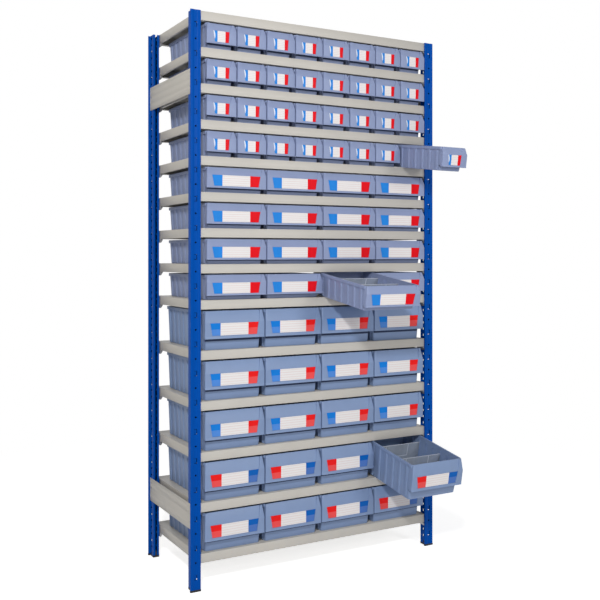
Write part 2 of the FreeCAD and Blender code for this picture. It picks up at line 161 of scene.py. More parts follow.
class Paint(NodeWork):
    """A node material under construction."""

    def __init__(self, name: str) -> None:
        """Makes an empty material with a shader and an output."""
        self.material = bpy.data.materials.new(name)
        self.material.use_nodes = True
        super().__init__(self.material.node_tree)
        self.shader = self.node("ShaderNodeBsdfPrincipled")
        self.output = self.node("ShaderNodeOutputMaterial", inputs={"Surface": self.shader.outputs[0]})

    def place(self) -> NodeSocket:
        """Object coordinates, which are the unit's own frame in metres."""
        return self.node("ShaderNodeTexCoord").outputs["Object"]

    def axes(self, source: NodeSocket) -> list[Value]:
        """The three coordinates of a vector socket."""
        parts = self.node("ShaderNodeSeparateXYZ", inputs={0: source}).outputs
        return [Value(self, part) for part in parts]

    def noise(self, scale: float, detail: float = 2.0, stretch: Point = (1, 1, 1)) -> Value:
        """Noise on object coordinates, with scale in features per metre."""
        mapped = self.node("ShaderNodeMapping", inputs={"Vector": self.place(), "Scale": stretch}).outputs[0]
        made = self.node("ShaderNodeTexNoise", inputs={"Vector": mapped, "Scale": scale, "Detail": detail})
        return Value(self, made.outputs["Fac"])

    def mix(self, share: Value | float, first: object, second: object) -> NodeSocket:
        """Two colours mixed by a share of the second."""
        return self.node("ShaderNodeMix", {"data_type": "RGBA"}, {0: share, 6: first, 7: second}).outputs[2]

    def mottle(self, share: Value, colour: Point, dark: float, light: float) -> NodeSocket:
        """A colour that wanders between a darker and a lighter tone of itself."""
        return self.mix(share, rgba(shade(colour, dark)), rgba(shade(colour, light)))

    def feed(self, name: str, value: object) -> None:
        """Sets or links one socket of the surface shader."""
        self.plug(value, self.shader.inputs[name])

    def bump(self, height: Value, depth: float, strength: float) -> None:
        """Raises the surface by a height field, depth in metres."""
        relief = {"Height": height, "Distance": depth, "Strength": strength}
        self.feed("Normal", self.node("ShaderNodeBump", inputs=relief).outputs[0])


def rgba(colour: Point) -> tuple[float, float, float, float]:
    """A linear colour with full opacity."""
    return (*colour, 1.0)


def shade(colour: Point, factor: float) -> Point:
    """The colour made lighter or darker."""
    return tuple(min(1.0, channel * factor) for channel in colour)


@dataclass(frozen=True)
class PowderCoat:
    """Baked powder coat on steel: even colour, faint orange peel, half gloss."""

    name: str
    colour: Point
    roughness: float
    mirror: float
    grain: float = 900.0

    def material(self) -> Material:
        """Builds the material."""
        paint = Paint(self.name)
        cloud = paint.noise(7.0, 3.0)
        paint.feed("Base Color", paint.mottle(cloud, self.colour, 0.93, 1.06))
        paint.feed("Roughness", self.roughness + (cloud - 0.5) * 0.12)
        paint.feed("Specular IOR Level", self.mirror)
        paint.bump(paint.noise(self.grain), 0.0002, 0.35)
        return paint.material


@dataclass(frozen=True)
class ZincPlate:
    """Dull galvanised steel with a cloudy spangle."""

    name: str
    colour: Point
    spangle: float = 260.0

    def material(self) -> Material:
        """Builds the material."""
        paint = Paint(self.name)
        cells = paint.node("ShaderNodeTexVoronoi", inputs={"Vector": paint.place(), "Scale": self.spangle})
        cloud = paint.noise(40.0, 4.0)
        share = (Value(paint, cells.outputs["Distance"]) * 0.6 + cloud * 0.5).clamped()
        paint.feed("Base Color", paint.mottle(share, self.colour, 0.7, 1.2))
        paint.feed("Metallic", 0.85)
        paint.feed("Roughness", 0.38 + cloud * 0.25)
        paint.bump(cloud, 0.0002, 0.3)
        return paint.material


@dataclass(frozen=True)
class MouldedPlastic:
    """Injection-moulded plastic with a fine spark-eroded texture and faint flow marks."""

    name: str
    colour: Point
    roughness: float = 0.4
    mirror: float = 0.32

    def material(self) -> Material:
        """Builds the material."""
        paint = Paint(self.name)
        flow = paint.noise(18.0, 3.0, (1.0, 0.4, 1.0))
        paint.feed("Base Color", paint.mottle(flow, self.colour, 0.93, 1.06))
        paint.feed("Specular IOR Level", self.mirror)
        paint.feed("Roughness", self.roughness + (flow - 0.5) * 0.14)
        paint.bump(paint.noise(1500.0), 0.00015, 0.25)
        return paint.material


@dataclass(frozen=True)
class SmokePlastic:
    """See-through grey plastic of the dividers."""

    name: str
    colour: Point
    opacity: float

    def material(self) -> Material:
        """Builds the material."""
        paint = Paint(self.name)
        haze = paint.noise(60.0, 3.0)
        paint.feed("Base Color", paint.mottle(haze, self.colour, 0.92, 1.08))
        paint.feed("Roughness", 0.25 + haze * 0.15)
        paint.feed("Alpha", self.opacity + (haze - 0.5) * 0.1)
        paint.bump(haze, 0.0003, 0.2)
        return paint.material


class BandOrder(Enum):
    """Which way round the coloured bands of a label card run, from left to right."""

    BLUE_FIRST = "blue_first"
    RED_FIRST = "red_first"


@dataclass(frozen=True)
class LabelCard:
    """A ruled card with a coloured band at each end, its lower half behind a clear film, and on some cards a
    painted glare at the left end.
    """

    name: str
    order: BandOrder
    left_band: float
    right_band: float
    ruled_lines: int
    blue: Point
    red: Point
    glare_share: float = 0.0
    film: float = 0.0
    white: Point = (0.83, 0.805, 0.80)
    rule: Point = (0.70, 0.50, 0.49)
    glare: Point = (0.9, 0.92, 0.95)

    def material(self) -> Material:
        """Builds the material on the card's own map: U runs across, V runs up."""
        paint = Paint(self.name)
        across, up, _ = paint.axes(paint.node("ShaderNodeUVMap", {"uv_map": "card"}).outputs[0])
        ruling = ((up * float(self.ruled_lines)).fraction() - 0.5).size() < 0.07
        paper = paint.mix(ruling * 0.7, rgba(self.white), rgba(self.rule))
        fade = paint.noise(30.0)
        veil = (up < 0.5 + across * 0.06) * self.film
        inks = [paint.mottle(fade, ink, 0.9, 1.1) for ink in (self.blue, self.red)]
        left, right = [paint.mix(veil, ink, rgba(self.white)) for ink in inks]
        if self.order is BandOrder.RED_FIRST:
            left, right = right, left
        face = paint.mix(across < self.left_band, paper, left)
        face = paint.mix(across > 1.0 - self.right_band, face, right)
        # painted reflection: a curved white sliver at the card's left end stands in for the glare off a clear
        # sleeve
        if self.glare_share > 0.0:
            rise = up - 0.55
            glare_bound = across - self.glare_share + rise * rise * (3.0 * self.glare_share)
            face = paint.mix((glare_bound < 0.0) * 0.9, face, rgba(self.glare))
        paint.feed("Base Color", face)
        paint.feed("Roughness", 0.35 + fade * 0.15)
        paint.feed("Specular IOR Level", 0.12)
        paint.bump(paint.noise(220.0, 3.0), 0.0002, 0.12)
        return paint.material


class Finishes:
    """Every finish of the unit, built once."""

    BLUE: Point = (0.0, 0.075, 0.40)
    CREAM: Point = (0.56, 0.535, 0.49)
    BRIGHT_BLUE: Point = (0.02, 0.235, 0.72)
    CARD_BLUE: Point = (0.007, 0.20, 0.68)
    DARK_BLUE: Point = (0.003, 0.115, 0.47)
    CARD_RED: Point = (0.76, 0.004, 0.011)
    WARM_RED: Point = (0.86, 0.012, 0.012)

    def __init__(self) -> None:
        """Builds the materials."""
        self.blue_steel = PowderCoat("blue_powder_coat", self.BLUE, 0.32, 0.04).material()
        # painted shade: the faces inside the folded uprights get a near-black blue that stands in for the shade in
        # there
        inside = shade(self.BLUE, 0.16)
        self.blue_painted_shade = PowderCoat("blue_powder_coat_inside", inside, 0.6, 0.04).material()
        self.cream_steel = PowderCoat("cream_powder_coat", self.CREAM, 0.45, 0.25).material()
        self.zinc = ZincPlate("zinc_plate", (0.36, 0.36, 0.37)).material()
        self.black = MouldedPlastic("black_plastic", (0.016, 0.016, 0.017), 0.55).material()
        # painted sheen: the short trays, which fill the upper rows, get a lighter, greyer blue than the tall
        # trays, standing in for the pale sheen up there
        self.short_tray_painted_sheen = MouldedPlastic("short_tray_plastic", (0.262, 0.318, 0.505)).material()
        self.tall_tray = MouldedPlastic("tall_tray_plastic", (0.214, 0.298, 0.488)).material()
        # painted shade: a dark blue for the band of bin wall under each panel's skirt, standing in for the thin
        # shadow line there
        self.tray_painted_shade = MouldedPlastic("tray_plastic_shaded", (0.05, 0.066, 0.12), 0.6, 0.05).material()
        self.smoke = SmokePlastic("smoke_plastic", (0.42, 0.47, 0.54), 0.5).material()
        self.smoke_edge = SmokePlastic("smoke_plastic_edge", (0.60, 0.65, 0.73), 0.85).material()
        first, turned = BandOrder.BLUE_FIRST, BandOrder.RED_FIRST
        plain, bright, dark = self.CARD_BLUE, self.BRIGHT_BLUE, self.DARK_BLUE
        red, warm = self.CARD_RED, self.WARM_RED
        self.small_card = LabelCard("small_card", first, 0.26, 0.255, 6, bright, red, glare_share=0.125).material()
        self.medium_card = LabelCard("medium_card", first, 0.21, 0.216, 5, bright, red).material()
        self.large_card = LabelCard("large_card", first, 0.21, 0.216, 5, plain, warm, film=0.09).material()
        self.turned_card = LabelCard("turned_card", turned, 0.23, 0.216, 5, dark, warm, film=0.09).material()


# ---- mesh building ---------------------------------------------------------------------------


def new_object(name: str, data: ID) -> Object:
    """Links data into the scene as an object under a name."""
    made = bpy.data.objects.new(name, data)
    bpy.context.scene.collection.objects.link(made)
    return made


def finished_mesh(source: Object) -> Mesh:
    """The object's mesh with its modifiers applied."""
    bpy.context.view_layer.update()
    graph = bpy.context.evaluated_depsgraph_get()
    return bpy.data.meshes.new_from_object(source.evaluated_get(graph), depsgraph=graph)


def settle(source: Object) -> Object:
    """Replaces the object's mesh by the evaluated one and drops its modifiers."""
    mesh = finished_mesh(source)
    source.modifiers.clear()
    source.data = mesh
    return source


def bevel(piece: Object, width: float, steps: int) -> None:
    """Adds a bevel modifier with hardened normals, width in millimetres."""
    made = piece.modifiers.new("edge", "BEVEL")
    made.width = width * MM
    made.segments = steps
    made.limit_method = "ANGLE"
    made.angle_limit = math.radians(40.0)
    made.harden_normals = True


def smooth(mesh: Mesh, angle: float = 35.0) -> None:
    """Shades the mesh smooth, apart from edges sharper than the angle in degrees."""
    for face in mesh.polygons:
        face.use_smooth = True
    mesh.set_sharp_from_angle(angle=math.radians(angle))


class Former:
    """Collects closed forms, in millimetres, into one mesh."""

    def __init__(self) -> None:
        """Starts empty."""
        self.shape = bmesh.new()

    def vertices(self, rows: Sequence[Ring]) -> list[list[BMVert]]:
        """Vertices at rows of points."""
        return [[self.shape.verts.new([c * MM for c in point]) for point in row] for row in rows]

    def loft(self, rings: Sequence[Ring], closed: bool = False) -> None:
        """Skins a row of rings that have the same number of points.

        Args:
            rings: the rings in order.
            closed: whether the last ring joins the first one; otherwise both are filled.
        """
        rows = self.vertices(rings)
        pairs = list(zip(rows, rows[1:]))
        if closed:
            pairs.append((rows[-1], rows[0]))
        for lower, upper in pairs:
            count = len(lower)
            for i in range(count):
                j = (i + 1) % count
                self.shape.faces.new((lower[i], lower[j], upper[j], upper[i]))
        if not closed:
            self.shape.faces.new(reversed(rows[0]))
            self.shape.faces.new(rows[-1])

    def prism(self, outline: Sequence[tuple[float, float]], start: float, end: float, axis: int) -> None:
        """Draws an outline along an axis, the outline in the two other axes in order."""
        rings = []
        for place in (start, end):
            ring = []
            for a, b in outline:
                point = [a, b]
                point.insert(axis, place)
                ring.append(tuple(point))
            rings.append(ring)
        self.loft(rings)

    def grid(self, rows: Sequence[Ring]) -> None:
        """An open sheet through rows of points."""
        made = self.vertices(rows)
        for lower, upper in zip(made, made[1:]):
            for i in range(len(lower) - 1):
                self.shape.faces.new((lower[i], lower[i + 1], upper[i + 1], upper[i]))

    def mesh(self, name: str) -> Mesh:
        """Finishes the mesh, with its faces turned outwards."""
        bmesh.ops.recalc_face_normals(self.shape, faces=self.shape.faces)
        made = bpy.data.meshes.new(name)
        self.shape.to_mesh(made)
        self.shape.free()
        return made


def rounded(
    left: float, right: float, near: float, far: float, high: float, radius: float, steps: int = 4
) -> Ring:
    """A rectangle with rounded corners at one height."""
    ring: Ring = []
    corners = ((right, far, 0), (left, far, 90), (left, near, 180), (right, near, 270))
    for x, y, start in corners:
        cx = x - math.copysign(radius, x - (left + right) / 2)
        cy = y - math.copysign(radius, y - (near + far) / 2)
        for i in range(steps + 1):
            a = math.radians(start + 90 * i / steps)
            ring.append((cx + radius * math.cos(a), cy + radius * math.sin(a), high))
    return ring


def merged_copy(node: str, name: str) -> Object:
    """A welded copy of a CAD node with its flat faces joined, as a piece that replaces it."""
    mesh = frame["nodes"][node].data.copy()
    mesh.materials.clear()
    shape = bmesh.new()
    shape.from_mesh(mesh)
    bmesh.ops.remove_doubles(shape, verts=shape.verts, dist=0.02 * MM)
    bmesh.ops.dissolve_limit(shape, angle_limit=math.radians(1), verts=shape.verts, edges=shape.edges)
    shape.to_mesh(mesh)
    shape.free()
    piece = new_object(name, mesh)
    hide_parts(node)
    return piece


# ---- geometry nodes --------------------------------------------------------------------------


class Tree(NodeWork):
    """A geometry tree with named inputs that puts copies of a piece somewhere."""

    def __init__(self, name: str, **inputs: str) -> None:
        """Makes an empty tree that takes geometry and the named inputs, and gives geometry."""
        super().__init__(bpy.data.node_groups.new(name, "GeometryNodeTree"))
        self.sockets: dict[str, str] = {}
        face = self.tree.interface
        for title, kind in {"Geometry": "Geometry", **inputs}.items():
            made = face.new_socket(title, in_out="INPUT", socket_type="NodeSocket" + kind)
            self.sockets[title] = made.identifier
        face.new_socket("Geometry", in_out="OUTPUT", socket_type="NodeSocketGeometry")
        self.entry = self.node("NodeGroupInput")

    def given(self, name: str) -> NodeSocket:
        """The group's input of that name."""
        return self.entry.outputs[name]

    def end(self, **places: NodeSocket) -> None:
        """Puts the piece on the points, realizes the copies and sets the finish.

        The finish takes the place of the piece's first material and leaves a second one as it is.

        Args:
            places: the points and, where the copies are turned, their rotation.
        """
        piece = self.node("GeometryNodeObjectInfo", inputs={"Object": self.given("Piece")})
        copies = {**places, "Instance": piece.outputs["Geometry"]}
        spread = self.node("GeometryNodeInstanceOnPoints", inputs=copies)
        real = self.node("GeometryNodeRealizeInstances", inputs={0: spread.outputs[0]})
        index = self.node("GeometryNodeInputMaterialIndex")
        first = self.node("ShaderNodeMath", {"operation": "LESS_THAN"}, {0: index.outputs[0], 1: 0.5})
        finish = self.given("Finish")
        dress = {"Geometry": real.outputs[0], "Selection": first.outputs[0], "Material": finish}
        dressed = self.node("GeometryNodeSetMaterial", inputs=dress)
        self.node("NodeGroupOutput", inputs={0: dressed.outputs[0]})

    def run(self, name: str, points: Mesh, values: dict[str, object]) -> Object:
        """Runs the tree on a mesh of points and gives the result as a plain piece."""
        piece = new_object(name, points)
        modifier = piece.modifiers.new("nodes", "NODES")
        modifier.node_group = self.tree
        for key, value in values.items():
            modifier[self.sockets[key]] = value
        return settle(piece)


def copies_in_line() -> Tree:
    """A tree that repeats a piece at an even step along a line."""
    ends = {"Start": "Vector", "Step": "Vector"}
    tree = Tree("copies_in_line", Piece="Object", Count="Int", **ends, Finish="Material")
    start, step = tree.given("Start"), tree.given("Step")
    span = {"Count": tree.given("Count"), "Start Location": start, "Offset": step}
    tree.end(Points=tree.node("GeometryNodeMeshLine", {"mode": "OFFSET"}, span).outputs[0])
    return tree


def copies_on_points() -> Tree:
    """A tree that puts a piece on every vertex, turned about Z by the vertex's turn."""
    tree = Tree("copies_on_points", Piece="Object", Finish="Material")
    turn = tree.node("GeometryNodeInputNamedAttribute", {"data_type": "FLOAT"}, {"Name": "turn"})
    angles = tree.node("ShaderNodeCombineXYZ", inputs={"Z": turn.outputs[0]})
    spin = tree.node("FunctionNodeEulerToRotation", inputs={0: angles.outputs[0]})
    tree.end(Points=tree.given("Geometry"), Rotation=spin.outputs[0])
    return tree


def point_mesh(name: str, places: Iterable[tuple[Point, float]]) -> Mesh:
    """A mesh of loose vertices, places in millimetres, each with its turn in radians."""
    places = list(places)
    mesh = bpy.data.meshes.new(name)
    mesh.from_pydata([[c * MM for c in point] for point, _ in places], [], [])
    turns = mesh.attributes.new("turn", "FLOAT", "POINT")
    turns.data.foreach_set("value", [turn for _, turn in places])
    return mesh


# ---- steel frame -----------------------------------------------------------------------------


@dataclass
class Upright:
    """A folded steel upright with round and slotted holes in its face and square ones in its stem."""

    node: str
    face: float = 38.0
    hem: float = 7.0
    stem: float = 23.0
    depth: float = 40.0
    steel: float = 1.5
    groove: float = 12.0
    groove_deep: float = 1.0
    bend: float = 2.0
    lip: float = 3.5
    hole_pitch: float = 25.0
    hole_wide: float = 12.0
    hole_tall: float = 8.0
    hole_back: float = 18.5
    slot_pitch: float = 100.0
    slot_wide: float = 10.0
    slot_tall: float = 18.0
    round_hole: float = 6.5
    round_steps: int = 16
    tab_gap: float = 0.8
    tab_play: float = 1.2
    tab_short: float = 1.5

    def __post_init__(self) -> None:
        """Reads from the CAD node where the upright stands and which way it faces."""
        low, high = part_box(self.node)
        at_rear = low.y > 0
        self.turn = -1.0 if at_rear else 1.0
        self.centre = (low.x + high.x) / 2 / MM
        self.outer = (high.y if at_rear else low.y) / MM
        self.bottom, self.top = low.z / MM, high.z / MM
        self.tab_back = self.steel / 2 + self.groove_deep + self.steel + self.tab_gap

    def section(self) -> list[Strip]:
        """The sheet's middle line from one free end round to the other.

        Returns:
            Points as x, y and the name of the strip that starts there: hole, slot or plain.
        """
        half = self.steel / 2
        wall = self.stem / 2 - half
        edge = self.face / 2 - half
        back = self.hem - half
        sunk = half + self.groove_deep
        side: list[Strip] = [
            (self.lip, self.depth - half, "plain"),
            (wall, self.depth - half, "plain"),
            (wall, self.hole_back + self.hole_wide / 2, "hole"),
            (wall, self.hole_back - self.hole_wide / 2, "plain"),
            *self.corner(wall, back, (0, 1), (1, 0)),
            *self.corner(edge, back, (-1, 0), (0, -1)),
            *self.corner(edge, half, (0, 1), (-1, 0)),
            (self.groove / 2 + self.groove_deep, half, "plain"),
            (self.groove / 2, sunk, "plain"),
        ]
        centre = [(self.slot_wide / 2, sunk, "slot"), (-self.slot_wide / 2, sunk, "plain")]
        kinds = ["plain"] + [kind for _, _, kind in side]
        mirrored = [(-x, y, kind) for (x, y, _), kind in zip(side, kinds)]
        return side + centre + mirrored[::-1]

    def corner(self, x: float, y: float, before: tuple[int, int], after: tuple[int, int]) -> list[Strip]:
        """A bend's arc round a corner, coming from one direction and leaving in the other."""
        radius = self.bend - self.steel / 2
        cx = x + (before[0] + after[0]) * radius
        cy = y + (before[1] + after[1]) * radius
        points = []
        for i in range(4):
            a = math.pi / 2 * i / 3
            px = cx - after[0] * radius * math.cos(a) - before[0] * radius * math.sin(a)
            py = cy - after[1] * radius * math.cos(a) - before[1] * radius * math.sin(a)
            points.append((px, py, "plain"))
        return points

    def levels(self) -> list[float]:
        """Every height at which a hole starts or ends, with the two ends."""
        found = {self.bottom, self.top}
        for pitch, share, tall in (
            (self.hole_pitch, 0.5, self.hole_tall),
            (self.slot_pitch, 0.5, self.slot_tall),
            (self.slot_pitch, 1.0, self.slot_wide),
        ):
            for number in range(int(self.top / pitch)):
                middle = (number + share) * pitch
                found.update((middle - tall / 2, middle + tall / 2))
        return sorted(z for z in found if self.bottom <= z <= self.top)

    def open_at(self, kind: str, middle: float) -> bool:
        """Whether the strip is cut away at a height."""
        sizes = {"hole": (self.hole_pitch, self.hole_tall), "slot": (self.slot_pitch, self.slot_tall)}
        pitch, tall = sizes.get(kind, (self.hole_pitch, 0.0))
        return abs(middle % pitch - pitch / 2) < tall / 2

    def round_at(self, kind: str, middle: float) -> bool:
        """Whether the strip holds a round hole at a height, halfway between two slots."""
        half = self.slot_pitch / 2
        return kind == "slot" and abs((middle + half) % self.slot_pitch - half) < 1.0

    def vertex(self, shape: BMesh, x: float, y: float, z: float) -> BMVert:
        """A vertex at a point of the section and a height, in the upright's place."""
        place = (self.centre + self.turn * x, self.outer + self.turn * y, z)
        return shape.verts.new([c * MM for c in place])

    def add_sheet(self, shape: BMesh) -> None:
        """The folded sheet, open where its holes are."""
        heights, points = self.levels(), self.section()
        rows = [[self.vertex(shape, x, y, z) for x, y, _ in points] for z in heights]
        for number, (below, above) in enumerate(zip(rows, rows[1:])):
            middle = (heights[number] + heights[number + 1]) / 2
            for i, (_, _, kind) in enumerate(points[:-1]):
                corners = (below[i], below[i + 1], above[i + 1], above[i])
                if self.round_at(kind, middle):
                    self.punch(shape, corners)
                elif not self.open_at(kind, middle):
                    shape.faces.new(corners)

    def add_tabs(self, shape: BMesh) -> None:
        """The tabs behind the slots of the face."""
        wide = self.slot_wide / 2 - self.tab_play
        tall = self.slot_tall / 2 - self.tab_short
        for number in range(int(self.top / self.slot_pitch)):
            middle = (number + 0.5) * self.slot_pitch
            places = ((-wide, -tall), (wide, -tall), (wide, tall), (-wide, tall))
            shape.faces.new([self.vertex(shape, x, self.tab_back, middle + z) for x, z in places])

    def punch(self, shape: BMesh, corners: Sequence[BMVert]) -> None:
        """Fills a square with a sheet that has a round hole in its middle."""
        middle = sum((v.co for v in corners), Vector()) / 4
        along = (corners[1].co - corners[0].co).normalized()
        up = (corners[3].co - corners[0].co).normalized()
        radius = self.round_hole / 2 * MM
        steps, quarter = self.round_steps, self.round_steps // 4
        ring = []
        for i in range(steps):
            a = math.radians(225 + 360 * i / steps)
            ring.append(shape.verts.new(middle + along * radius * math.cos(a) + up * radius * math.sin(a)))
        for k in range(4):
            first, after = k * quarter, corners[(k + 1) % 4]
            for i in range(quarter):
                owner = corners[k] if i < quarter / 2 else after
                shape.faces.new((ring[first + i], owner, ring[(first + i + 1) % steps]))
            shape.faces.new((corners[k], after, ring[first + quarter // 2]))

    def paint_shade_inside(self, mesh: Mesh) -> None:
        """Gives the faces that look into the folded steel the second finish, a painted shade for the dark inside,
        apart from the tabs.
        """
        for face in mesh.polygons:
            seen = (face.center + face.normal * MM) / MM
            inside = self.encloses(self.turn * (seen.x - self.centre), self.turn * (seen.y - self.outer))
            on_tab = abs(self.turn * (face.center.y / MM - self.outer) - self.tab_back) < self.steel
            if inside and not on_tab:
                face.material_index = 1

    def encloses(self, x: float, y: float) -> bool:
        """Whether a point of the section lies inside the folded steel."""
        in_stem = abs(x) < self.stem / 2 - self.steel and self.steel < y < self.depth - self.steel
        in_face = abs(x) < self.face / 2 - self.steel and self.steel < y < self.hem - self.steel
        return in_stem or in_face

    def build(self, finishes: Finishes) -> Object:
        """Builds the upright where its CAD node stands."""
        former = Former()
        self.add_sheet(former.shape)
        self.add_tabs(former.shape)
        piece = new_object(self.node + "_steel", former.mesh(self.node + "_sheet"))
        wall = piece.modifiers.new("sheet", "SOLIDIFY")
        wall.thickness = self.steel * MM
        wall.offset = 0.0
        wall.use_even_offset = True
        settle(piece)
        smooth(piece.data, 50.0)
        # the second finish is painted shade for the faces inside the folded steel
        piece.data.materials.append(finishes.blue_steel)
        piece.data.materials.append(finishes.blue_painted_shade)
        self.paint_shade_inside(piece.data)
        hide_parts(self.node)
        log.info("%s rides on frame", self.node)
        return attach(piece, "frame")


def softened(node: str, name: str, width: float, steps: int, finish: Material) -> Object:
    """A CAD node's copy with rounded edges, fixed to the frame."""
    piece = merged_copy(node, name)
    bevel(piece, width, steps)
    settle(piece)
    smooth(piece.data)
    piece.data.materials.append(finish)
    log.info("%s rides on frame", node)
    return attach(piece, "frame")


@dataclass
class Shelves:
    """The pan shelves, with rounded folds."""

    deep_rows: int = 5
    deep_pitch: float = 175.0
    shallow_rows: int = 8
    shallow_pitch: float = 125.0
    top: float = 2000.0
    fold: float = 0.99

    def heights(self) -> list[float]:
        """The shelves' tops, from the highest down."""
        shallow = [self.top - self.shallow_pitch * i for i in range(self.shallow_rows + 1)]
        return shallow + [shallow[-1] - self.deep_pitch * i for i in range(1, self.deep_rows + 1)]

    def build(self, finishes: Finishes) -> Object:
        """Rounds the folds of the pans."""
        return softened("shelves", "shelf_pans", self.fold, 3, finishes.cream_steel)


@dataclass
class SmallSteel:
    """The tie plates, foot caps, clips and bolts of the frame."""

    clip_plate: float = 1.5
    clip_long: float = 45.0
    clip_reach: float = 10.5
    clip_toe: float = 4.0
    clip_drop: float = 14.0
    clip_play: float = 0.3
    shelf_tall: float = 32.0
    bolt_head: float = 11.0
    bolt_cap: float = 2.4
    bolt_neck: float = 6.0
    neck_long: float = 6.5
    nut_radius: float = 5.8
    nut_start: float = 3.0
    nut_end: float = 6.8
    tie_tops: tuple[float, float] = (1800.0, 300.0)
    bolt_drops: tuple[float, float] = (12.5, 62.5)
    bolt_out: float = 203.0

    def clip_form(self) -> Object:
        """One clip: a plate beside the shelf and a bracket under it."""
        former = Former()
        half, plate, toe = self.clip_long / 2, self.clip_plate, self.clip_toe
        seat, foot = -self.shelf_tall, -self.shelf_tall - self.clip_drop
        tip = -self.clip_play
        former.prism([(0.0, tip), (plate, tip), (plate, seat), (0.0, seat)], -half, half, 1)
        reach = self.clip_reach
        bracket = [(0.0, seat), (reach, seat), (reach, seat - toe), (toe, foot), (0.0, foot)]
        former.prism(bracket, -half, half, 1)
        piece = new_object("clip_form", former.mesh("clip_form"))
        bevel(piece, 0.35, 1)
        return settle(piece)

    def bolt_form(self) -> Object:
        """A low dome head with its square neck and hexagon nut, seated at x = 0."""
        former = Former()
        rings = []
        for share, out in ((1.0, 0.0), (1.0, 0.7), (0.82, 1.7), (0.5, 2.25), (0.2, self.bolt_cap)):
            radius = self.bolt_head / 2 * share
            turns = [2 * math.pi * i / 16 for i in range(16)]
            rings.append([(-out, math.cos(a) * radius, math.sin(a) * radius) for a in turns])
        former.loft(rings)
        half = self.bolt_neck / 2
        former.prism([(-half, -half), (half, -half), (half, half), (-half, half)], 0.0, self.neck_long, 0)
        turns = [math.pi * i / 3 for i in range(6)]
        nut = [(math.cos(a) * self.nut_radius, math.sin(a) * self.nut_radius) for a in turns]
        former.prism(nut, self.nut_start, self.nut_end, 0)
        return new_object("bolt_form", former.mesh("bolt_form"))

    def clip_places(self, heights: Sequence[float]) -> list[Point]:
        """Where the right-hand clips hang: one at the front and one at the rear of each shelf."""
        _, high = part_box("shelf_clips")
        back = high.y / MM - self.clip_long / 2
        return [(high.x / MM, y, z) for z in heights for y in (-back, back)]

    def bolt_places(self) -> list[Point]:
        """Where the right-hand bolts sit: two at each end of every tie plate."""
        _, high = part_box("side_ties")
        drops = [top - drop for top in self.tie_tops for drop in self.bolt_drops]
        return [(high.x / MM, y, z) for z in drops for y in (-self.bolt_out, self.bolt_out)]

    def hang(self, tree: Tree, form: Object, node: str, finish: Material, places: list[Point]) -> Object:
        """Puts a form on the left at each place mirrored and on the right half turned, then drops it."""
        pairs = [((sign * x, y, z), turn) for x, y, z in places for sign, turn in ((-1, 0.0), (1, math.pi))]
        piece = tree.run(node + "_zinc", point_mesh("places", pairs), {"Piece": form, "Finish": finish})
        bpy.data.objects.remove(form)
        smooth(piece.data)
        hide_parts(node)
        log.info("%s rides on frame", node)
        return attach(piece, "frame")

    def build(self, finishes: Finishes, heights: Sequence[float]) -> None:
        """Builds all of them."""
        tree = copies_on_points()
        softened("side_ties", "tie_plates", 0.4, 2, finishes.cream_steel)
        softened("foot_caps", "foot_caps_black", 0.8, 2, finishes.black)
        self.hang(tree, self.clip_form(), "shelf_clips", finishes.zinc, self.clip_places(heights))
        self.hang(tree, self.bolt_form(), "tie_bolts", finishes.zinc, self.bolt_places())


# ---- trays -----------------------------------------------------------------------------------


@dataclass(frozen=True)
class Label:
    """A label's lower edge, its two ends there and how far they flare towards its upper edge."""

    low: float
    left: float
    right: float
    left_flare: float
    right_flare: float


class TrayKind(Enum):
    """The tray sizes: width, height, clearance under the panel, how far the painted shade reaches below it, and
    label.
    """

    SMALL = ("small", 116.0, 88.0, 15.0, 1.0, Label(22.0, -26.5, 26.6, 6.3, 2.5))
    MEDIUM = ("medium", 233.0, 88.0, 15.0, 3.0, Label(22.0, -87.7, 84.5, 8.0, 6.4))
    LARGE = ("large", 233.0, 137.0, 40.0, 9.5, Label(51.0, -87.7, 84.5, 8.0, 6.4))

    def __init__(
        self, title: str, width: float, tall: float, skirt: float, painted_shade_below: float, label: Label
    ) -> None:
        """Keeps the size's values."""
        self.title = title
        self.width = width
        self.tall = tall
        self.skirt = skirt
        self.painted_shade_below = painted_shade_below
        self.label = label


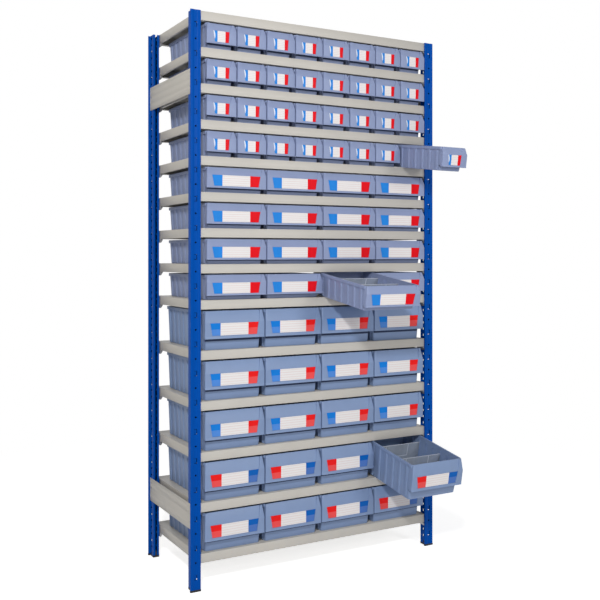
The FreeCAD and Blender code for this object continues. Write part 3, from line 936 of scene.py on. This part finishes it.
@dataclass
class TrayForm:
    """A shelf tray about its own frame: foremost line on the X axis, floor at Z = 0."""

    kind: TrayKind
    length: float = 378.0
    wall: float = 2.0
    side_play: float = 1.4
    rim_tall: float = 11.0
    rim_reach: float = 4.0
    rim_back: float = 6.0
    rim_lap: float = 0.8
    foot_inset: float = 10.0
    foot_back: float = 26.0
    head_back: float = 10.0
    head_inset: float = 5.0
    head_fold: float = 7.0
    cheek_deep: float = 21.0
    cheek_lift: float = 6.0
    skirt_back: float = 1.0
    nose_share: float = 0.7
    scoop: float = 4.0
    scoop_inset: float = 11.0
    sink: float = 1.6
    ledge: float = 1.3
    field_edge: float = 0.8
    painted_shade_above: float = 5.0
    rear_lean: float = 5.0
    rib_start: float = 48.0
    rib_end: float = 16.0
    rib_pitch: float = 44.0
    rib_wide: float = 15.0
    rib_high: float = 2.6
    rib_play: float = 0.15
    guide_start: float = 88.0
    guide_wide: float = 2.2
    guide_high: float = 2.4
    guide_apart: float = 7.0
    guide_edge: float = 0.3
    label_drop: float = 0.6
    card_margin: float = 0.6
    card_lift: float = 0.5
    card_thick: float = 0.35
    panel_deep: float = 15.0
    facing: float = 0.6

    CORNER = ((12.0, 0.0), (3.2, 0.0), (1.6, 0.4), (0.4, 1.6), (0.0, 3.2))
    """The panel's rounded upright corner: distances back and inwards."""

    BEAD = ((0.5, 1.0), (3.5, -0.8))
    """The panel's bead: up to which height over the skirt its face lies how far back."""

    BROW = ((0.3, 1.4), (1.5, 0.5))
    """The panel's upper edge: down to which depth below the top its face lies how far back."""

    @property
    def half(self) -> float:
        """Half the width, a little less than the pitch allows."""
        return self.kind.width / 2 - self.side_play

    @property
    def nose(self) -> float:
        """Height of the foremost line."""
        return self.kind.tall * self.nose_share

    @property
    def label_top(self) -> float:
        """Height of the label's upper edge, just under the foremost line."""
        return self.nose - self.label_drop

    def side_wall(self, z: float) -> float:
        """How far out the bin's side wall lies at a height."""
        return self.half - self.foot_inset + (self.foot_inset - self.rim_reach) * z / self.kind.tall

    def bin_ring(self, z: float, inward: float, radius: float) -> Ring:
        """The bin's outline at a height, moved inwards."""
        t = z / self.kind.tall
        side = self.side_wall(z) - inward
        near = self.foot_back + (self.head_back + self.scoop - self.foot_back) * t + inward
        far = self.length - self.rear_lean + (self.rear_lean - self.wall) * t - inward
        return rounded(-side, side, near, far, z, radius)

    def panel_front(self, z: float) -> float:
        """How far back the panel's outer face lies at a height."""
        if z >= self.nose:
            return self.head_back * (z - self.nose) / (self.kind.tall - self.nose)
        return self.skirt_back * (self.nose - z) / (self.nose - self.kind.skirt)

    def panel_half(self, z: float) -> float:
        """Half the panel's width at a height."""
        over = max(0.0, z - self.nose) / (self.kind.tall - self.nose)
        return self.half - self.head_inset * over

    def card_sides(self, z: float) -> tuple[float, float]:
        """The label's left and right edge at a height."""
        label = self.kind.label
        share = (z - label.low) / (self.label_top - label.low)
        return label.left - label.left_flare * share, label.right + label.right_flare * share

    def add_bin(self, former: Former) -> None:
        """The bin: outer wall up, over the brim and down inside."""
        tall, wall, skirt = self.kind.tall, self.wall, self.kind.skirt
        rings = (
            (0.0, 2.4, 6.0),
            (0.7, 0.7, 7.0),
            (2.4, 0.0, 7.5),
            # these two rings bound the band of front wall that gets the painted shadow under the skirt
            (skirt - self.kind.painted_shade_below, 0.0, 7.3),
            (skirt + self.painted_shade_above, 0.0, 7.2),
            (tall - 0.5, 0.0, 6.0),
            (tall, 0.5, 5.6),
            (tall, wall - 0.5, 4.4),
            (tall - 0.5, wall, 4.0),
            (wall + 3.0, wall, 5.5),
            (wall + 0.8, wall + 0.9, 5.0),
            (wall, wall + 3.0, 4.0),
        )
        former.loft([self.bin_ring(z, inward, radius) for z, inward, radius in rings])

    def add_rim(self, former: Former) -> None:
        """The band round the brim."""
        top = self.kind.tall
        foot = top - self.rim_tall
        near = self.head_back + self.rim_back
        inner = self.rim_reach + self.rim_lap
        rings = []
        for inward, z, radius in (
            (0.5, foot, 6.5),
            (0.0, foot + 0.6, 7.0),
            (0.0, top - 0.9, 7.0),
            (0.9, top - 0.05, 6.1),
            (inner, top - 0.05, 3.0),
            (inner, foot, 3.0),
        ):
            side = self.half - inward
            rings.append(rounded(-side, side, near, self.length - inward, z, radius))
        former.loft(rings, closed=True)

    def rib_form(self, sign: float) -> Object:
        """One rib of a side wall, from the floor to the rim, on the side of the sign."""
        top = self.kind.tall - self.rim_tall + 0.5
        half = self.rib_wide / 2
        former = Former()
        rings = []
        for z, fullness in ((1.5, 0.4), (3.0, 1.0), (top, 1.0)):
            wall = self.side_wall(z)
            out = min(self.rib_high, self.half - wall - self.rib_play) * fullness
            flank = [(-0.5, -half - 1.2), (out * 0.75, -half), (out, -half + 1.0)]
            flank += [(x, -y) for x, y in reversed(flank)]
            rings.append([(sign * (wall + x), y, z) for x, y in flank])
        former.loft(rings)
        return new_object("rib_form", former.mesh("rib_form"))

    def guide_form(self, sign: float) -> Object:
        """A pair of thin ribs inside a side wall, between which a divider slides down."""
        top = self.kind.tall - self.rim_tall - 3.0
        half = self.guide_wide / 2
        slim = half - self.guide_edge
        former = Former()
        for along in (-self.guide_apart / 2, self.guide_apart / 2):
            rings = []
            for z, high in ((4.0, self.guide_high), (top - 2.0, self.guide_high), (top, self.guide_edge)):
                wall = self.side_wall(z) - self.wall
                inner, root = sign * (wall - high), sign * (wall + 0.6)
                ring = [(root, -half), (root, half), (inner, slim), (inner, -slim)]
                rings.append([(x, along + y, z) for x, y in ring])
            former.loft(rings)
        return new_object("guide_form", former.mesh("guide_form"))

    def ribs(self, tree: Tree, finish: Material) -> list[Object]:
        """The ribs outside and the divider guides inside both side walls, from a geometry tree."""
        made = []
        for sign in (-1.0, 1.0):
            forms = ((self.rib_form(sign), self.rib_start), (self.guide_form(sign), self.guide_start))
            for form, first in forms:
                values = {
                    "Piece": form,
                    "Count": int((self.length - self.rib_end - first) / self.rib_pitch) + 1,
                    "Start": (0.0, first * MM, 0.0),
                    "Step": (0.0, self.rib_pitch * MM, 0.0),
                    "Finish": finish,
                }
                made.append(tree.run("ribs", point_mesh("start", []), values))
                bpy.data.objects.remove(form)
        return made

    def roll(self, z: float) -> float:
        """How far the panel's face turns back at its edges, with a bead along the lower one."""
        for distance, bands in ((z - self.kind.skirt, self.BEAD), (self.kind.tall - z, self.BROW)):
            for limit, back in bands:
                if distance < limit:
                    return back
        return 0.0

    def field(self, z: float, near: float) -> list[Point]:
        """The panel's middle stretch at a height: the label's sunk field or the scoop above it."""
        low, high = self.kind.label.low, self.label_top
        share = max(0.0, z - high) / (self.kind.tall - high)
        left, right = self.card_sides(min(max(z, low), high))
        ends = self.panel_half(z) - self.scoop_inset
        left += (-ends - left) * share
        right += (ends - right) * share
        sunk = 0.0
        if low <= z <= high:
            sunk = self.sink
        elif z > high:
            sunk = self.ledge + (self.scoop - self.ledge) * share
        deep, edge = near + sunk, self.field_edge
        return [(left - edge, near, z), (left, deep, z), (right, deep, z), (right + edge, near, z)]

    def panel_row(self, z: float) -> list[Point]:
        """One row of the panel, from the left cheek's rear edge round to the right one."""
        near = self.panel_front(z) + self.roll(z)
        half = self.panel_half(z)
        at_skirt = z < self.kind.skirt + 2.0
        lift = self.cheek_lift if at_skirt else 0.0
        side: list[Point] = [(-half, self.cheek_deep, z + lift)]
        for back, inset in self.CORNER:
            lift = self.cheek_lift * (back / self.cheek_deep) ** 2 if at_skirt and back > 10.0 else 0.0
            side.append((inset - half, min(near + back, self.cheek_deep), z + lift))
        return side + self.field(z, near) + [(-x, y, height) for x, y, height in reversed(side)]

    def panel(self) -> Object:
        """The front panel and its two cheeks as a moulded sheet, built from the bottom up."""
        tall, skirt, low, high = self.kind.tall, self.kind.skirt, self.kind.label.low, self.label_top
        heights = [skirt, skirt + 0.8, skirt + 3.2, skirt + 4.4, low - 0.5, low, high, high + 0.2]
        heights += [self.nose + 0.4, (self.nose + tall) / 2, tall - 2.0, tall - 0.4, tall]
        rows = [self.panel_row(z) for z in heights]
        rows.append([(x, max(y, self.head_back + self.head_fold), z) for x, y, z in rows[-1]])
        former = Former()
        former.grid(rows)
        piece = new_object("panel", former.mesh("panel"))
        wall = piece.modifiers.new("wall", "SOLIDIFY")
        wall.thickness = self.wall * MM
        front = max(piece.data.polygons, key=lambda face: face.area)
        wall.offset = -1.0 if front.normal.y < 0 else 1.0
        return settle(piece)

    def paint_wall_shade(self, mesh: Mesh) -> None:
        """Gives the band of the bin's front wall behind the panel's skirt the mesh's second finish, a painted
        shadow line under the panel.
        """
        low, high = self.kind.skirt - self.kind.painted_shade_below, self.kind.skirt + self.painted_shade_above
        for face in mesh.polygons:
            middle = face.center / MM
            if face.normal.y < -self.facing and middle.y > self.panel_deep and low < middle.z < high:
                face.material_index = 1

    def build(self, tree: Tree, finishes: Finishes) -> Object:
        """The whole tray as one object, still about its own frame."""
        former = Former()
        self.add_bin(former)
        self.add_rim(former)
        shell = new_object(f"{self.kind.title}_tray_form", former.mesh("shell"))
        # the short trays' plastic carries a painted sheen
        plastic = finishes.tall_tray if self.kind is TrayKind.LARGE else finishes.short_tray_painted_sheen
        parts = [self.panel(), *self.ribs(tree, plastic)]
        shape = bmesh.new()
        for part in (shell, *parts):
            shape.from_mesh(part.data)
        shape.to_mesh(shell.data)
        shape.free()
        for part in parts:
            bpy.data.objects.remove(part)
        shell.data.materials.clear()
        shell.data.materials.append(plastic)
        # the second finish is the painted shadow line under the panel
        shell.data.materials.append(finishes.tray_painted_shade)
        self.paint_wall_shade(shell.data)
        smooth(shell.data, 38.0)
        return shell

    def card(self) -> Object:
        """The label card, just in front of its sunk field, with a map across its face."""
        columns, steps, margin = 8, 5, self.card_margin
        low, high = self.kind.label.low + margin, self.label_top - margin
        far_left, far_right = self.card_sides(self.label_top)
        former = Former()
        layer = former.shape.loops.layers.uv.new("card")
        places, rows = {}, []
        for i in range(steps + 1):
            v = i / steps
            z = low + (high - low) * v
            left, right = self.card_sides(z)
            front = self.panel_front(z) + self.sink - self.card_lift
            across = [left + margin + (right - left - 2 * margin) * j / columns for j in range(columns + 1)]
            row = former.vertices([[(x, front, z) for x in across]])[0]
            for made, x in zip(row, across):
                places[made] = ((x - far_left) / (far_right - far_left), v)
            rows.append(row)
        for lower, upper in zip(rows, rows[1:]):
            for j in range(columns):
                face = former.shape.faces.new((lower[j], lower[j + 1], upper[j + 1], upper[j]))
                for loop in face.loops:
                    loop[layer].uv = places[loop.vert]
        mesh = bpy.data.meshes.new("card")
        former.shape.to_mesh(mesh)
        former.shape.free()
        piece = new_object(f"{self.kind.title}_card_form", mesh)
        thick = piece.modifiers.new("card", "SOLIDIFY")
        thick.thickness = self.card_thick * MM
        thick.offset = 1.0
        return settle(piece)

    def side_profile(self) -> list[tuple[float, float]]:
        """The y and z of the tray's extreme points seen from the side."""
        return [
            (self.foot_back, 0.0),
            (self.skirt_back, self.kind.skirt),
            (0.0, self.nose),
            (self.head_back, self.kind.tall),
            (self.length, self.kind.tall),
            (self.length, self.kind.tall - self.rim_tall),
            (self.length - self.rear_lean, 0.0),
        ]

    def place(self, node: str, tilt: float) -> Matrix:
        """Where a tray's frame lies, worked out from its CAD node's box and its tilt."""
        low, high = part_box(node)
        c, s = math.cos(tilt), math.sin(tilt)
        ys = [y * c - z * s for y, z in self.side_profile()]
        zs = [y * s + z * c for y, z in self.side_profile()]
        origin = Vector(((low.x + high.x) / 2, low.y - min(ys) * MM, low.z - min(zs) * MM))
        return Matrix.Translation(origin) @ Matrix.Rotation(tilt, 4, "X")


@dataclass
class Divider:
    """A see-through cross divider with a moulded frame."""

    node: str
    tilt: float
    thick: float = 2.0
    plate: float = 1.4
    draft: float = 0.055
    border: float = 2.6
    head_play: float = 0.2
    pocket_wide: float = 0.48
    pocket_deep: float = 0.42
    pocket_flare: float = 3.0

    def form(self, tall: float, head: float) -> Mesh:
        """The plate and the frame on it, about the middle of its foot, from height and half width."""
        foot = head - tall * self.draft
        edge, reach = head - self.head_play, foot * self.pocket_wide
        band, half = self.border, self.thick / 2
        brow, shelf = tall - band, tall * (1.0 - self.pocket_deep)
        former = Former()
        outline = [(-foot, 0.0), (foot, 0.0), (head, tall), (-head, tall)]
        former.prism(outline, -self.plate / 2, self.plate / 2, 1)
        plate_faces = len(former.shape.faces)
        bars = [
            [(-edge, brow), (edge, brow), (head, tall), (-head, tall)],
            [(-reach, shelf - band), (reach, shelf - band), (reach, shelf), (-reach, shelf)],
        ]
        for sign in (-1, 1):
            low, high = sign * reach - band / 2, sign * (reach + self.pocket_flare) - band / 2
            bars.append([(low, shelf), (low + band, shelf), (high + band, brow), (high, brow)])
        for bar in bars:
            former.prism(bar, -half, half, 1)
        for number, face in enumerate(former.shape.faces):
            face.material_index = int(number >= plate_faces)
        return former.mesh(self.node)

    def build(self, finishes: Finishes) -> Object:
        """Builds the divider where its CAD node stands."""
        low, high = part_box(self.node)
        c, s = math.cos(self.tilt), math.sin(self.tilt)
        tall = ((high.z - low.z) / MM - self.thick * s) / c
        piece = new_object(self.node + "_smoke", self.form(tall, (high.x - low.x) / MM / 2))
        piece.data.materials.append(finishes.smoke)
        piece.data.materials.append(finishes.smoke_edge)
        bevel(piece, 0.25, 1)
        settle(piece)
        # the plate's lower edge lies at the box's low side in z and at its far side in y
        half = self.thick / 2 * MM
        where = Vector(((low.x + high.x) / 2, high.y - half * c, low.z + half * s))
        piece.data.transform(Matrix.Translation(where) @ Matrix.Rotation(self.tilt, 4, "X"))
        smooth(piece.data)
        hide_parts(self.node)
        return piece


class Trays:
    """Every tray of the unit with its card, in its place."""

    TURNED_ROWS = (12, 13)
    DIVIDED = {"medium_divider": "medium_tray_8_3", "large_divider": "large_tray_12_4"}

    def __init__(self, finishes: Finishes) -> None:
        """Prepares the forms and the geometry tree."""
        self.finishes = finishes
        self.line = copies_in_line()
        self.forms = {kind.title: TrayForm(kind) for kind in TrayKind}
        self.trays = {title: form.build(self.line, finishes) for title, form in self.forms.items()}
        self.cards = {title: form.card() for title, form in self.forms.items()}
        bodies = frame["record"]["behaviour"]["bodies"]
        self.body_of = {node: body for body, nodes in bodies.items() for node in nodes}
        self.tilts = {joint["child"]: self.tilt_of(joint) for joint in frame["joints"]}

    @staticmethod
    def tilt_of(joint: dict) -> float:
        """A tray's tilt, read from the direction that it slides in."""
        _, y, z = joint["axis"]
        return math.atan2(-z, -y) if y < -0.5 else 0.0

    def card_finish(self, title: str, row: int) -> Material:
        """The card's finish for a tray size and a row."""
        if title == "small":
            return self.finishes.small_card
        if title == "medium":
            return self.finishes.medium_card
        return self.finishes.turned_card if row in self.TURNED_ROWS else self.finishes.large_card

    def single(self, node: str) -> None:
        """One tray with its card, on its own body."""
        title, _, row, _ = node.split("_")
        body = self.body_of[node]
        where = self.forms[title].place(node, self.tilts[body])
        tray = self.trays[title].data.copy()
        tray.transform(where)
        piece = new_object(node + "_shell", tray)
        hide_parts(node)
        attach(piece, body)
        card = self.cards[title].data.copy()
        card.transform(where)
        card.materials.clear()
        card.materials.append(self.card_finish(title, int(row)))
        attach(new_object(node + "_card", card), body)
        log.info("%s rides on %s", node, body)

    def whole_row(self, node: str, count: int = 8, pitch: float = 117.0) -> None:
        """A row of small trays that slides as one."""
        body = self.body_of[node]
        middle = self.forms["small"].place(node, 0.0).translation
        values = {
            "Count": count,
            "Start": (middle.x - pitch * MM * (count - 1) / 2, middle.y, middle.z),
            "Step": (pitch * MM, 0.0, 0.0),
        }
        shells = {**values, "Piece": self.trays["small"], "Finish": self.finishes.short_tray_painted_sheen}
        piece = self.line.run(node + "_shells", point_mesh("start", []), shells)
        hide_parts(node)
        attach(piece, body)
        cards = {**values, "Piece": self.cards["small"], "Finish": self.finishes.small_card}
        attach(self.line.run(node + "_cards", point_mesh("start", []), cards), body)
        log.info("%s rides on %s", node, body)

    def dividers(self) -> None:
        """The front and the rear divider of each tray that has them."""
        for name, tray in self.DIVIDED.items():
            tilt = self.tilts[self.body_of[tray]]
            for node in (name + "_front", name + "_rear"):
                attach(Divider(node, tilt).build(self.finishes), self.body_of[node])
                log.info("%s rides on %s", node, self.body_of[node])

    def build(self) -> None:
        """Builds every tray, then drops the forms."""
        for node in sorted(self.body_of):
            if "_trays_row_" in node:
                self.whole_row(node)
            elif "_tray_" in node:
                self.single(node)
        self.dividers()
        for form in (*self.trays.values(), *self.cards.values()):
            bpy.data.objects.remove(form)


# ---- studio ----------------------------------------------------------------------------------


@dataclass
class Studio:
    """A pale floor, a white surround, soft lamps and a level camera."""

    camera_at: Point = (-1.6385, -3.0081, 1.1562)
    turn: float = 29.05
    focal: float = 52.34
    sensor: float = 36.0
    rise: float = -0.0747
    aim: float = 1.0
    dome: float = 0.24
    lift: float = 0.70
    far: float = 9.0
    pale: Point = (0.9, 0.9, 0.9)
    fade_start: float = 0.7
    fade_rate: float = 0.6

    def camera(self) -> None:
        """Sets up the camera, level, with its picture shifted down."""
        data = bpy.data.cameras.new("camera")
        data.lens = self.focal
        data.sensor_width = self.sensor
        data.shift_y = self.rise
        made = new_object("camera", data)
        made.location = self.camera_at
        made.rotation_euler = (math.radians(90), 0.0, -math.radians(self.turn))
        bpy.context.scene.camera = made

    def lamp(self, name: str, at: Point, size: float, power: float, tint: Point = (1, 1, 1)) -> None:
        """A square area lamp aimed at a point on the unit's middle line."""
        data = bpy.data.lights.new(name, "AREA")
        data.color = tint
        data.shape = "SQUARE"
        data.size = size
        data.energy = power
        made = new_object(name, data)
        made.location = at
        aim = Vector((0.0, 0.0, self.aim)) - Vector(at)
        made.rotation_euler = aim.to_track_quat("-Z", "Y").to_euler()

    @staticmethod
    def seen_directly(work: NodeWork) -> NodeSocket:
        """1 for rays from the camera and for mirrored or refracted ones, else 0."""
        path = work.node("ShaderNodeLightPath")
        total = path.outputs["Is Camera Ray"]
        for name in ("Is Glossy Ray", "Is Transmission Ray"):
            rays = {0: total, 1: path.outputs[name]}
            total = work.node("ShaderNodeMath", {"operation": "MAXIMUM"}, rays).outputs[0]
        return total

    def world(self) -> None:
        """A white surround for the camera, mirrors and glass, and a soft light for the rest."""
        world = bpy.data.worlds.new("surround")
        bpy.context.scene.world = world
        world.use_nodes = True
        work = NodeWork(world.node_tree)
        white = rgba((1.0, 1.0, 1.0))
        glow = work.node("ShaderNodeBackground", inputs={"Color": white, "Strength": self.dome})
        shown = work.node("ShaderNodeBackground", inputs={"Color": white, "Strength": 1.0})
        seen = self.seen_directly(work)
        mix = work.node("ShaderNodeMixShader", inputs={0: seen, 1: glow.outputs[0], 2: shown.outputs[0]})
        work.node("ShaderNodeOutputWorld", inputs={0: mix.outputs[0]})

    def floor(self) -> None:
        """A wide pale floor that keeps the unit's shadow and fades to white further out."""
        far = self.far
        mesh = bpy.data.meshes.new("floor")
        corners = [(-far, -far, 0), (far, -far, 0), (far, far, 0), (-far, far, 0)]
        mesh.from_pydata(corners, [], [(0, 1, 2, 3)])
        paint = Paint("pale_floor")
        across, along, _ = paint.axes(paint.place())
        away = (across * across + along * along).root()
        share = ((away - self.fade_start) * self.fade_rate).clamped()
        plain = paint.node("ShaderNodeBsdfDiffuse", inputs={0: rgba(self.pale)})
        lift = paint.node("ShaderNodeEmission", inputs={"Strength": self.lift})
        lit = paint.node("ShaderNodeAddShader", inputs={0: plain.outputs[0], 1: lift.outputs[0]})
        white = paint.node("ShaderNodeEmission", inputs={"Strength": 1.0})
        shown = paint.node("ShaderNodeMixShader", inputs={0: share, 1: lit.outputs[0], 2: white.outputs[0]})
        seen = self.seen_directly(paint)
        final = paint.node("ShaderNodeMixShader", inputs={0: seen, 1: plain.outputs[0], 2: shown.outputs[0]})
        paint.plug(final.outputs[0], paint.output.inputs["Surface"])
        paint.tree.nodes.remove(paint.shader)
        mesh.materials.append(paint.material)
        new_object("floor", mesh)

    def build(self) -> None:
        """Builds the studio."""
        bpy.context.scene.view_settings.view_transform = "Standard"
        self.world()
        self.floor()
        self.lamp("key", (-2.3, -3.5, 3.1), 0.4, 92.0)
        self.lamp("fill", (1.3, -4.4, 2.3), 0.8, 36.0)
        self.lamp("low", (-1.2, -4.4, 0.9), 0.6, 15.0)
        self.lamp("side", (-2.7, 0.3, 3.6), 1.4, 13.0, (1.0, 0.91, 0.78))
        self.camera()


def main() -> None:
    """Builds the unit's looks."""
    logging.basicConfig(level=logging.INFO, format="%(message)s")
    finishes = Finishes()
    for node in ("upright_front_left", "upright_front_right", "upright_rear_left", "upright_rear_right"):
        Upright(node).build(finishes)
    shelves = Shelves()
    shelves.build(finishes)
    SmallSteel().build(finishes, shelves.heights())
    Trays(finishes).build()
    Studio().build()


if __name__ == "__main__":
    main()
